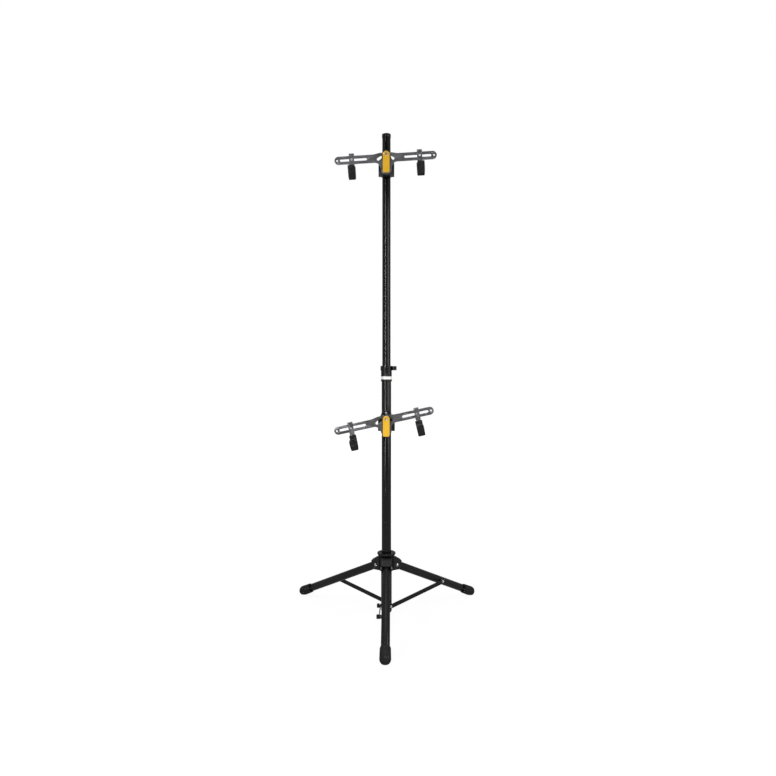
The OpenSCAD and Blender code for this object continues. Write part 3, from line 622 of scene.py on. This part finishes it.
def cut_flat(mesh, place):
    """Cuts a mesh in millimetres off at the floor and closes the cut."""
    work = bmesh.new()
    work.from_mesh(mesh)
    work.transform(place)
    bmesh.ops.remove_doubles(work, verts=work.verts, dist=WELD / MM)
    cut = bmesh.ops.bisect_plane(work, geom=work.verts[:] + work.edges[:] + work.faces[:],
                                 plane_co=(0, 0, 0), plane_no=(0, 0, -1), clear_outer=True)
    rim = [e for e in cut["geom_cut"] if isinstance(e, bmesh.types.BMEdge)]
    bmesh.ops.holes_fill(work, edges=rim, sides=0)
    work.to_mesh(mesh)
    work.free()
    return mesh


for name in LEG_ANGLES:
    boot = lathe_mesh(boot_outline, "rubber", sides=64)
    settle(cut_flat(boot, along_leg(name) @ FACE_DOWN), "boot_" + name, "leg_" + name, "rubber",
           ("foot_" + name,))

# %% [markdown]
# ## The braces and the base collar
# A brace is one flat steel bar with round ends. It lies beside its leg, always on the same side,
# and runs down to the collar, a moulding on the foot of the mast. All of them are softened
# copies, with the small radius that a punched bar has. A thin painted sleeve stiffens the mast
# between the collar and the hub. It is a turned shell, 3 mm proud of the tube.

# %% Braces and collar
for name in LEG_ANGLES:
    softened("brace_" + name, "black_paint", width=0.6, steps=2)
softened("base_collar", "black_plastic", width=0.8, steps=2)
turned("base_sleeve", "mast", "black_paint",
       tube_outline(COLLAR_R, LOWER_R + SNUG, COLLAR_TOP + 0.1, HUB_Z - 5.0), at_mast())
print("tripod pieces so far:", tri_total, "triangles")

# %% [markdown]
# ## Pins and screws
# The same pin sits in each of the three forks, and the same screw in each corner of a bracket.
# That is what instances are for: one master is turned on the lathe, and a Geometry Nodes tree
# sets a copy on every seat, turned to face the way that the seat points. A seat is a loose
# vertex that carries its direction as an attribute. The copies are made real at the end,
# because the finished tower holds plain meshes, and one mesh is made for each body.

# %% The tree that sets masters on seats


def seat_tree():
    tree, given, out = new_maker("Master on seats", [
        ("Seats", "Geometry", None), ("Master", "Object", None), ("Size", "Float", 1.0)])
    points = add(tree, "GeometryNodeMeshToPoints", {"Mesh": given["Seats"]}).outputs[0]
    turned_to = add(tree, "FunctionNodeAlignRotationToVector",
                    {"Vector": stored(tree, "aim", "FLOAT_VECTOR")}, axis="Z")
    master = add(tree, "GeometryNodeObjectInfo", {"Object": given["Master"]})
    copies = add(tree, "GeometryNodeInstanceOnPoints", {
        "Points": points, "Instance": master.outputs["Geometry"],
        "Rotation": turned_to.outputs[0], "Scale": given["Size"]}).outputs[0]
    return close_tree(tree, given, out, copies)


SEATS = seat_tree()


def set_on_seats(name, body, slot, master_mesh, seats, nodes=()):
    """seats is a list of (place, direction) in millimetres, in the tower's frame."""
    master = placed("master", master_mesh)
    points = bpy.data.meshes.new("seats")
    points.from_pydata([place for place, aim in seats], [], [])
    layer = points.attributes.new("aim", "FLOAT_VECTOR", "POINT")
    layer.data.foreach_set("vector", [c for place, aim in seats for c in aim])
    made = drive(SEATS, points, {"Master": master, "Finish": FINISHES[slot]})
    bpy.data.objects.remove(master)
    return settle(made, name, body, slot, nodes)


def seat(frame_matrix, x, y, z, aim=(0, 1, 0)):
    """A seat at a point of some frame, facing along one of that frame's directions."""
    return (tuple(frame_matrix @ Vector((x, y, z))),
            tuple(frame_matrix.to_3x3() @ Vector(aim)))


def cap_screw(shank, head, low, seat_at, head_t, socket=0.5, deep=0.55):
    """A screw from a low end up to its head, with a round socket sunk in the head."""
    top = seat_at + head_t
    return rounded([(0, low), (shank, low), (shank, seat_at), (head, seat_at), (head, top - 0.5),
                    (head - 0.5, top), (head * socket, top), (head * socket * 0.85,
                    top - head_t * deep), (0, top - head_t * deep)], 0.25, 2)


# %% Pins of the hub and the base collar
shank, head, grip, head_t = 4.0, 6.0, 21.2, 2.4
end = grip + head_t
half = rounded([(shank, grip), (head, grip), (head, end - head_t * 0.45), (head * 0.72, end),
                (head * 0.3, end - 0.5), (0, end - 0.5)], 0.4, 2)
hub_pin = lathe_mesh([(r, -h) for r, h in reversed(half)] + half, "bolt_steel", sides=40)
set_on_seats("hub_pin_set", "hub", "bolt_steel", hub_pin,
             [seat(leg_side(name), HUB_PIN_R, 0, HUB_PIN_Z) for name in LEG_ANGLES],
             ("hub_pins",))
pin_start, pin_end = LOWER_R + FACE_GAP, BRACE_FACE + 2.0
collar_pin = lathe_mesh([(0, pin_start)] + rounded(
    [(3.0, pin_start), (3.0, BRACE_FACE), (5.0, BRACE_FACE), (5.0, pin_end - 0.8),
     (3.6, pin_end), (1.5, pin_end - 0.3)], 0.4, 3) + [(0, pin_end - 0.3)], "bolt_steel", sides=40)
set_on_seats("collar_pin_set", "mast", "bolt_steel", collar_pin,
             [seat(leg_side(name), COLLAR_PIN_R, 0, COLLAR_PIN_Z, (0, -1, 0))
              for name in ("right", "left")], ("collar_pins",))

# %% [markdown]
# One rivet joins each brace to its leg. A wide shoulder fills the space between the two, and a
# dome closes the rivet outside the brace. The front brace has a knob there instead of a dome.

# %% Brace rivets
rivet_low, rivet_neck = LEG_R + FACE_GAP, BRACE_IN - FACE_GAP
rivet_foot = [(0, rivet_low), (7.5, rivet_low), (7.5, rivet_neck), (4.0, rivet_neck)]
domed = rivet_foot + [(4.0, BRACE_FACE), (6.0, BRACE_FACE), (6.0, BRACE_FACE + 0.7),
                      (5.0, BRACE_FACE + 1.9), (2.6, BRACE_FACE + 2.5), (0, BRACE_FACE + 2.5)]
plain_end = rivet_foot + [(4.0, BRACE_OUT), (0, BRACE_OUT)]
for name, outline in (("front", plain_end), ("right", domed), ("left", domed)):
    rivet = lathe_mesh(rounded(outline, 0.4, 3), "bolt_steel", sides=40)
    piece = set_on_seats("rivet_skin_" + name, "brace_" + name, "bolt_steel", rivet,
                         [seat(along_brace(name), brace_len, 0, 0, (0, -1, 0))],
                         ("rivet_" + name,))
    if name == "front":
        piece.data.materials[0] = FINISHES["dark_bolt"]

# %% [markdown]
# ## The lock pin and the pivot knob
# Two fluted plastic knobs stand out of the front brace. One pulls the pin that locks the brace
# to the collar and so keeps the tripod open. The other closes the brace's pivot on the leg.

# %% Knobs
OUTWARDS = turn(90, "X")


def knob_outline(r, start, length, shank=0.0, shank_from=0.0):
    end = start + length
    stem = [(0, shank_from), (shank, shank_from), (shank, start)] if shank else [(0, start)]
    return rounded(stem + [
        (r - 1.2, start), (r, start + 1.4), (r, end - 2.6), (r - 0.9, end - 0.9), (r - 2.2, end),
        (r * 0.4, end), (r * 0.32, end - 0.7), (0, end - 0.7)], 0.6, 3)


def divided(outline, low, high, parts):
    """Adds rows between two heights of an outline, so that flutes can follow the side."""
    result = []
    for a, b in zip(outline, outline[1:]):
        result.append(a)
        if a[1] < b[1] and a[1] < high and b[1] > low and b[1] - a[1] > (high - low) / parts:
            count = math.ceil((b[1] - a[1]) / (high - low) * parts)
            result += [(a[0] + (b[0] - a[0]) * k / count, a[1] + (b[1] - a[1]) * k / count)
                       for k in range(1, count)]
    return result + [outline[-1]]


lock_start = BRACE_OUT + 2.0
lock_outline = knob_outline(9.0, lock_start, 12.0, 3.0, pin_start)
skin("lock_pin", "black_plastic", divided(lock_outline, lock_start + 2, lock_start + 9, 6),
     leg_side("front") @ shift(COLLAR_PIN_R, 0, COLLAR_PIN_Z) @ OUTWARDS, flutes=16, depth=0.7,
     fluted=(lock_start + 2.2, lock_start + 8.9))
pivot_outline = knob_outline(8.5, BRACE_FACE, 9.0)
skin("pivot_knob", "black_plastic", divided(pivot_outline, BRACE_FACE + 2, BRACE_FACE + 6, 4),
     along_leg("front") @ shift(BRACE_PIN_S, 0, 0) @ OUTWARDS, flutes=16, depth=0.7,
     fluted=(BRACE_FACE + 2.0, BRACE_FACE + 5.9))

# %% [markdown]
# ## Swept sections
# The hooks' rubber sleeves follow a path, so a second tree sweeps a rounded section along a
# chain of points, and a stored value lets the section swell and draw in on its way.

# %% The tree that sweeps a section along a path


def sweep_tree():
    tree, given, out = new_maker("Swept section", [
        ("Path", "Geometry", None), ("Width", "Float", 2.0), ("Thickness", "Float", 2.0),
        ("Corner", "Float", 1.0), ("Corner steps", "Int", 6)])
    curve = add(tree, "GeometryNodeMeshToCurve", {"Mesh": given["Path"]}).outputs[0]
    level = add(tree, "GeometryNodeSetCurveNormal", {"Curve": curve}, mode="Z_UP").outputs[0]
    swell = stored(tree, "swell")
    sized = add(tree, "GeometryNodeSetCurveRadius", {"Curve": level, "Radius": swell})
    section = add(tree, "GeometryNodeCurvePrimitiveQuadrilateral",
                  {"Width": given["Thickness"], "Height": given["Width"]})
    soft = add(tree, "GeometryNodeFilletCurve", {
        "Curve": section.outputs[0], "Radius": given["Corner"], "Count": given["Corner steps"],
        "Limit Radius": True}, mode="POLY")
    swept = add(tree, "GeometryNodeCurveToMesh", {
        "Curve": sized.outputs[0], "Profile Curve": soft.outputs[0], "Scale": swell,
        "Fill Caps": True})
    return close_tree(tree, given, out, swept.outputs[0])


SWEEP = sweep_tree()


def swept_mesh(path, swell, slot, width, thickness, corner):
    """path is a list of flat points; the width stands square to the plane they lie in."""
    mesh = outline_mesh([(x, y, 0.0) for x, y in path], "swell", swell)
    return drive(SWEEP, mesh, {
        "Width": width, "Thickness": thickness, "Corner": corner, "Finish": FINISHES[slot]})


# %% [markdown]
# ## The height clamp
# A plastic sleeve grips the joint of the two tubes. Its top is a thicker, slit collar that a
# quick-release lever draws tight. The sleeve, its ears and the lever are softened copies, and
# a smooth white band goes round the middle.

# %% Clamp, band, bolt and lever
softened("clamp_sleeve", "black_plastic", width=0.8, steps=3)
softened("clamp_lever", "black_plastic", width=1.2, steps=3)
band_low, band_h = CLAMP_Z + 8.5, 12.5
turned("label_band_skin", "mast", "white_band",
       tube_outline(CLAMP_R + 0.4, CLAMP_R + SNUG, band_low, band_low + band_h, 0.15), at_mast(),
       ("clamp_label_band",))
clamp_bolt = softened("clamp_hardware", "bolt_steel", width=0.4, steps=2)
clamp_bolt.data.materials[0] = FINISHES["dark_bolt"]

# %% [markdown]
# ## The arm brackets
# Each bracket is a heavy moulding in two halves that four screws pull together round the mast.
# Its block reaches forwards and carries the arm plate on two bolts. The halves are softened
# copies, and the screws are one master on four seats. A fifth, at the front, is turned alone.

# %% Brackets, liners and screws
BRACKET_H, WALL, SCREW_ROWS = 54.0, 5.0, (-14.0, -42.0)
for arm, (height, tilt, tube_r) in ARMS.items():
    body = arm + "_bracket"
    for half in (body, body + "_cap"):
        softened(half, "black_plastic", width=1.0, steps=3)
    bore = tube_r + 1.95
    skin(arm + "_liner", "black_plastic",
         tube_outline(bore - 0.02, tube_r + SLIDE, height - BRACKET_H, height, 0.3))
    face = bore + WALL + 3.0
    bolt_x = bore + WALL + 2.5
    here = at_mast(height)
    screw = lathe_mesh(cap_screw(2.5, 4.5, -14.0, 9.0, 4.0), "bolt_steel", sides=32)
    corners = [seat(here, side * bolt_x, 0, z) for side in (-1, 1) for z in SCREW_ROWS]
    set_on_seats(arm + "_screw_set", body, "bolt_steel", screw, corners,
                 (arm + "_bracket_bolts",))
    turned(arm + "_front_screw", body, "bolt_steel", cap_screw(3.0, 4.6, face - 6, face + 3, 3.0),
           here @ shift(0, 0, 19.0) @ OUTWARDS, sides=40)
    skin(arm + "_tilt_pivot", "bolt_steel",
         cap_screw(5.0, 9.0, face + 6, PLATE_FRONT, 4.0, socket=0.42, deep=0.6),
         here @ shift(0, 0, -TILT_R) @ OUTWARDS, sides=48)
    skin(arm + "_lever_stud", "bolt_steel",
         cap_screw(4.0, 5.2, face + 6, LEVER_FRONT + FACE_GAP, 2.6, deep=0.5), here @ OUTWARDS,
         sides=40)
    collar_end = PLATE_FRONT + 9.8
    skin(arm + "_pressure_collar", "black_plastic",
         rounded([(4.02, PLATE_FRONT), (14.0, PLATE_FRONT), (12.0, collar_end),
                  (4.02, collar_end)], 0.8, 3, True), here @ OUTWARDS, sides=72)
print("bracket pieces so far:", tri_total, "triangles")

# %% [markdown]
# ## The yellow levers
# Each arm is locked by a yellow lever, a moulding that is thicker round its bolt and thins
# towards its tip. Its lower part carries plain raised grip bars, for the thumb that pushes it.
# The bars are a row, so a small tree repeats them.

# %% The tree that repeats a grip bar


def row_tree():
    tree, given, out = new_maker("Row of bars", [
        ("Bar", "Geometry", None), ("Count", "Int", 4), ("Step", "Vector", (0.0, 0.0, 4.0))])
    line = add(tree, "GeometryNodeMeshLine", {"Count": given["Count"], "Offset": given["Step"]})
    copies = add(tree, "GeometryNodeInstanceOnPoints", {
        "Points": line.outputs[0], "Instance": given["Bar"]})
    return close_tree(tree, given, out, copies.outputs[0])


ROW = row_tree()


def grip_bar(width, height, proud):
    """A low rounded bar across X, standing out towards -Y, with its back sunk a little."""
    work = bmesh.new()
    bmesh.ops.create_cube(work, size=1.0)
    for v in work.verts:
        v.co.x *= width - (height if v.co.y < 0 else 0.0)
        v.co.z *= height * (0.5 if v.co.y < 0 else 1.0)
        v.co.y = -proud if v.co.y < 0 else 0.4
    bmesh.ops.bevel(work, geom=work.edges[:], offset=0.22, segments=2, profile=0.6,
                    affect="EDGES")
    mesh = bpy.data.meshes.new("grip_bar")
    work.to_mesh(mesh)
    work.free()
    return mesh


# %% Levers and their grip bars
BAR_W, BAR_H, BAR_STEP, BAR_LOW = 15.0, 2.2, 4.4, -44.0
for arm, (height, tilt, tube_r) in ARMS.items():
    softened(arm + "_lever", "yellow_plastic", width=1.6, steps=4)
    bars = drive(ROW, grip_bar(BAR_W, BAR_H, 0.7), {
        "Count": 4, "Step": (0.0, 0.0, BAR_STEP), "Finish": FINISHES["yellow_plastic"]})
    settle(bars, arm + "_grip_bars", arm + "_lever", "yellow_plastic", (),
           at_mast(height) @ shift(0, -LEVER_FRONT, BAR_LOW))

# %% [markdown]
# ## The arm plates
# Each arm is a laser-cut steel plate with a long bar, a tongue for the tilt pivot, an arc slot
# for the lever's bolt, two slots for the hooks and a hole near each tip. The holes are the
# shape, so the solid is copied and its cut edges are softened by almost half a millimetre.

# %% Plates
for arm in ARMS:
    softened(arm + "_plate", "grey_paint", width=0.45, steps=2)

# %% [markdown]
# ## The hooks
# A bent steel strap hooks over the plate and holds a rubber sleeve shaped like a J. The strap
# is a softened copy. The sleeve is soft, so it gets its own piece: a rounded section swept
# along the J by that tree, drawn in at both ends as moulded rubber is.

# %% Straps, sleeves and hook bolts
steel_r = CRADLE_R + SLEEVE_T / 2
strap_front = PLATE_FRONT + STRAP_T
cradle_y = strap_front + 3.5 + SLEEVE_T / 2 - STRAP_T / 2 + CRADLE_R
rise, tip = CRADLE_DROP - SLEEVE_START, CRADLE_DROP - LIP_DROP
sleeve_path = [(steel_r, rise * (1 - k / 8)) for k in range(9)]
sleeve_path += [(steel_r * math.cos(a), steel_r * math.sin(a))
                for a in [-math.pi * k / 32 for k in range(1, 33)]]
sleeve_path += [(-steel_r, tip * k / 6) for k in range(1, 7)]


def end_swell(path, taper, least):
    """1 along a path, falling off round its two ends like a quarter circle."""
    lengths = [0.0]
    for a, b in zip(path, path[1:]):
        lengths.append(lengths[-1] + math.dist(a, b))
    near = [min(s / taper, (lengths[-1] - s) / taper, 1.0) for s in lengths]
    return [least + (1 - least) * math.sqrt(1 - (1 - t) ** 2) for t in near]


def refined_ends(path, taper, steps):
    """Adds points near both ends, so that the taper has something to follow."""
    def toward(a, b):
        full = math.dist(a, b)
        return [tuple(a[i] + (b[i] - a[i]) * (taper * k / steps) / full for i in (0, 1))
                for k in range(1, steps + 1)]
    head = [path[0]] + toward(path[0], path[1])
    tail = [path[-1]] + toward(path[-1], path[-2])
    return head + path[1:-1] + tail[::-1]


print("sleeve path:", len(sleeve_path), "points")
taper = 2.2
sleeve_path = refined_ends(sleeve_path, taper, 6)
SLEEVE_PLANE = Matrix(((0, 0, 1, 0), (1, 0, 0, 0), (0, 1, 0, 0), (0, 0, 0, 1)))
for arm in ARMS:
    for side, word in ((-1, "left"), (1, "right")):
        base, body = f"{arm}_{word}", f"{arm}_{word}_hook"
        here = on_hook(arm, side)
        softened(base + "_strap", "grey_paint", width=0.6, steps=2)
        sleeve = swept_mesh(sleeve_path, end_swell(sleeve_path, taper, 0.8), "rubber", SLEEVE_W,
                            SLEEVE_T, 3.2)
        settle(sleeve, base + "_sleeve", body, "rubber", (base + "_pad",),
               here @ shift(0, -cradle_y, -CRADLE_DROP) @ SLEEVE_PLANE, crisp=50)
        bolt = cap_screw(4.0, 4.9, PLATE_BACK - 8.9, strap_front, 2.8, socket=0.62, deep=0.45)
        skin(base + "_bolt", "bolt_steel", bolt, here @ OUTWARDS, sides=40)
        nut_start = PLATE_BACK - 1.6
        for name, r, start, end, edge, shape in (
                ("_washer", 8.0, PLATE_BACK, nut_start, 0.3, {"sides": 40}),
                ("_nut", 7.0, nut_start, PLATE_BACK - 6.6, 0.5, {"sides": 6, "crisp": 20})):
            ring = rounded([(4.0, start), (r, start), (r, end), (4.0, end)], edge, 2, True)
            turned(base + name, body, "bolt_steel", ring, here @ OUTWARDS, **shape)
print("all pieces:", tri_total, "triangles")

# %% [markdown]
# ## Nodes that stay as they are
# The guide bush inside the mast is never seen, but it still gets a finish of its own, because
# every solid that is carried over does.

# %% Finishes of the carried-over solids
for label, cad in frame["nodes"].items():
    if cad.hide_render:
        continue
    cad.data.materials.clear()
    cad.data.materials.append(FINISHES["black_plastic"])
    print("kept solid:", label)

# %% [markdown]
# ## Floor, light and camera
# The photograph is a cut-out on white, lit by large soft lamps in a dark room. The floor near
# the tower keeps part of its soft shadow and turns to plain white further out. Light Path shows
# that white to the camera, to gloss and to clear parts alone, so no extra light falls on the
# tower. A dark screen behind the camera is what the black tubes mirror between glowing panels:
# a narrow one at the left for the thin bright line, and wide ones at the right for the grey band.
# The panels are seen by gloss alone. The plain light comes from soft boxes near the lower arm,
# which gloss doesn't see, and from two large ones above and behind.

# %% Floor, screen and world


def clear_white(tree):
    """1 for the rays that should meet a plain white background."""
    rays = add(tree, "ShaderNodeLightPath").outputs
    seen = calc(tree, "MAXIMUM", rays["Is Camera Ray"], rays["Is Glossy Ray"])
    return calc(tree, "MAXIMUM", seen, rays["Is Transmission Ray"])


def floor_material(name, near, strength):
    """White from afar; near the tower a share of the lit floor carries the shadow."""
    made = bpy.data.materials.new(name)
    tree = bare_tree(made)
    place = add(tree, "ShaderNodeTexCoord").outputs["Object"]
    reach = add(tree, "ShaderNodeVectorMath", {0: place}, operation="LENGTH").outputs["Value"]
    plain = ramp(tree, reach, 0.6, 2.0, near, 1.0, interpolation_type="SMOOTHSTEP")
    tone = mix(tree, noise(tree, place, 3.0), linear("e6e6e5"), linear("ececeb"))
    matt = add(tree, "ShaderNodeBsdfDiffuse", {"Color": tone}).outputs[0]
    white = add(tree, "ShaderNodeEmission", {"Strength": strength}).outputs[0]
    share = calc(tree, "MULTIPLY", clear_white(tree), plain)
    both = add(tree, "ShaderNodeMixShader", {0: share, 1: matt, 2: white}).outputs[0]
    add(tree, "ShaderNodeOutputMaterial", {"Surface": both})
    return made


def stage_material(name, kind, values):
    """A material of one shader, for what is only screen or light."""
    made = bpy.data.materials.new(name)
    tree = bare_tree(made)
    add(tree, "ShaderNodeOutputMaterial", {"Surface": add(tree, kind, values).outputs[0]})
    return made


def stage_mesh(name, corners, material):
    made = bpy.data.meshes.new(name)
    made.from_pydata(corners, [], [tuple(range(len(corners)))])
    made.materials.append(material)
    thing = placed(name, made)
    return thing


FLOOR_R, FLOOR_Z, SCREEN_X, SCREEN_Y, SCREEN_H = 9, -0.0005, 7, -5.2, 6
rim = [math.radians(3.75 * k) for k in range(96)]
stage_mesh("floor", [(FLOOR_R * math.cos(a), FLOOR_R * math.sin(a), FLOOR_Z) for a in rim],
           floor_material("pale_floor", near=0.84, strength=1.1))
screen = stage_mesh("screen", [(x, SCREEN_Y, z) for x, z in (
    (-SCREEN_X, 0), (SCREEN_X, 0), (SCREEN_X, SCREEN_H), (-SCREEN_X, SCREEN_H))],
    stage_material("dark_screen", "ShaderNodeBsdfDiffuse", {"Color": linear("1e1e20")}))
screen.visible_camera = False

world = bpy.data.worlds.new("studio")
bpy.context.scene.world = world
sky = bare_tree(world)
plain, soft = (add(sky, "ShaderNodeBackground", {
    "Color": (1, 1, 1, 1), "Strength": strength}).outputs[0] for strength in (1.0, 0.3))
chosen = add(sky, "ShaderNodeMixShader", {0: clear_white(sky), 1: soft, 2: plain})
add(sky, "ShaderNodeOutputWorld", {"Surface": chosen.outputs[0]})

# %% Lamps and camera


def facing(place, aim):
    """The turn that points a lamp or a panel from its place at a point."""
    return (Vector(aim) - Vector(place)).to_track_quat("-Z", "Y")


def lamp(name, place, aim, size, power):
    made = placed(name, bpy.data.lights.new(name, "AREA"))
    made.data.shape = "RECTANGLE"
    made.data.size, made.data.size_y = size
    made.data.energy = power
    made.location = place
    made.rotation_euler = facing(place, aim).to_euler()
    return made


for soft_box in (lamp("key_left", (-1.2, -1.9, 0.6), (0, 0, 0.9), (0.5, 0.9), 26),
                 lamp("fill_right", (1.5, -1.6, 0.6), (0, 0, 0.9), (0.7, 0.9), 24)):
    soft_box.visible_glossy = False
lamp("top_soft", (0, -0.6, 4.2), (0, 0, 1.0), (2.4, 2.4), 30)
lamp("rear_soft", (-0.8, 3.2, 2.4), (0, 0, 1.0), (2.0, 2.0), 20)


def lit_panel(name, place, aim, size, glow):
    """A glowing sheet that only gloss sees. It isn't sampled as a lamp, so it adds no noise."""
    glowing = stage_material(name, "ShaderNodeEmission", {"Strength": glow})
    glowing.cycles.emission_sampling = "NONE"
    corners = [Vector(place) + facing(place, aim) @ Vector((x * size[0] / 2, y * size[1] / 2, 0))
               for x, y in ((-1, -1), (1, -1), (1, 1), (-1, 1))]
    panel = stage_mesh(name, corners, glowing)
    panel.visible_camera = panel.visible_diffuse = panel.visible_shadow = False


lit_panel("glint_left", (-1.9, -3.4, 1.9), (0, 0, 1.9), (0.24, 3.4), 80.0)
lit_panel("glint_right", (2.9, -1.5, 1.7), (0, 0, 1.7), (1.4, 2.6), 8.3)
lit_panel("glint_front", (1.3, -3.1, 1.9), (0, 0, 1.9), (1.1, 2.4), 5.4)

SENSOR, FOCAL_LENGTH, LOOK_DOWN, LOOK_LEFT = 36.0, 27.48, 1.067, 0.396
camera = placed("camera", bpy.data.cameras.new("camera"))
camera.data.sensor_width, camera.data.lens = SENSOR, FOCAL_LENGTH
camera.location = (0.024, MAST_Y * MM - 2.5, 1.0026)
camera.rotation_euler = (math.radians(90 - LOOK_DOWN), 0, math.radians(LOOK_LEFT))
bpy.context.scene.camera = camera
bpy.context.scene.view_settings.view_transform = "Standard"
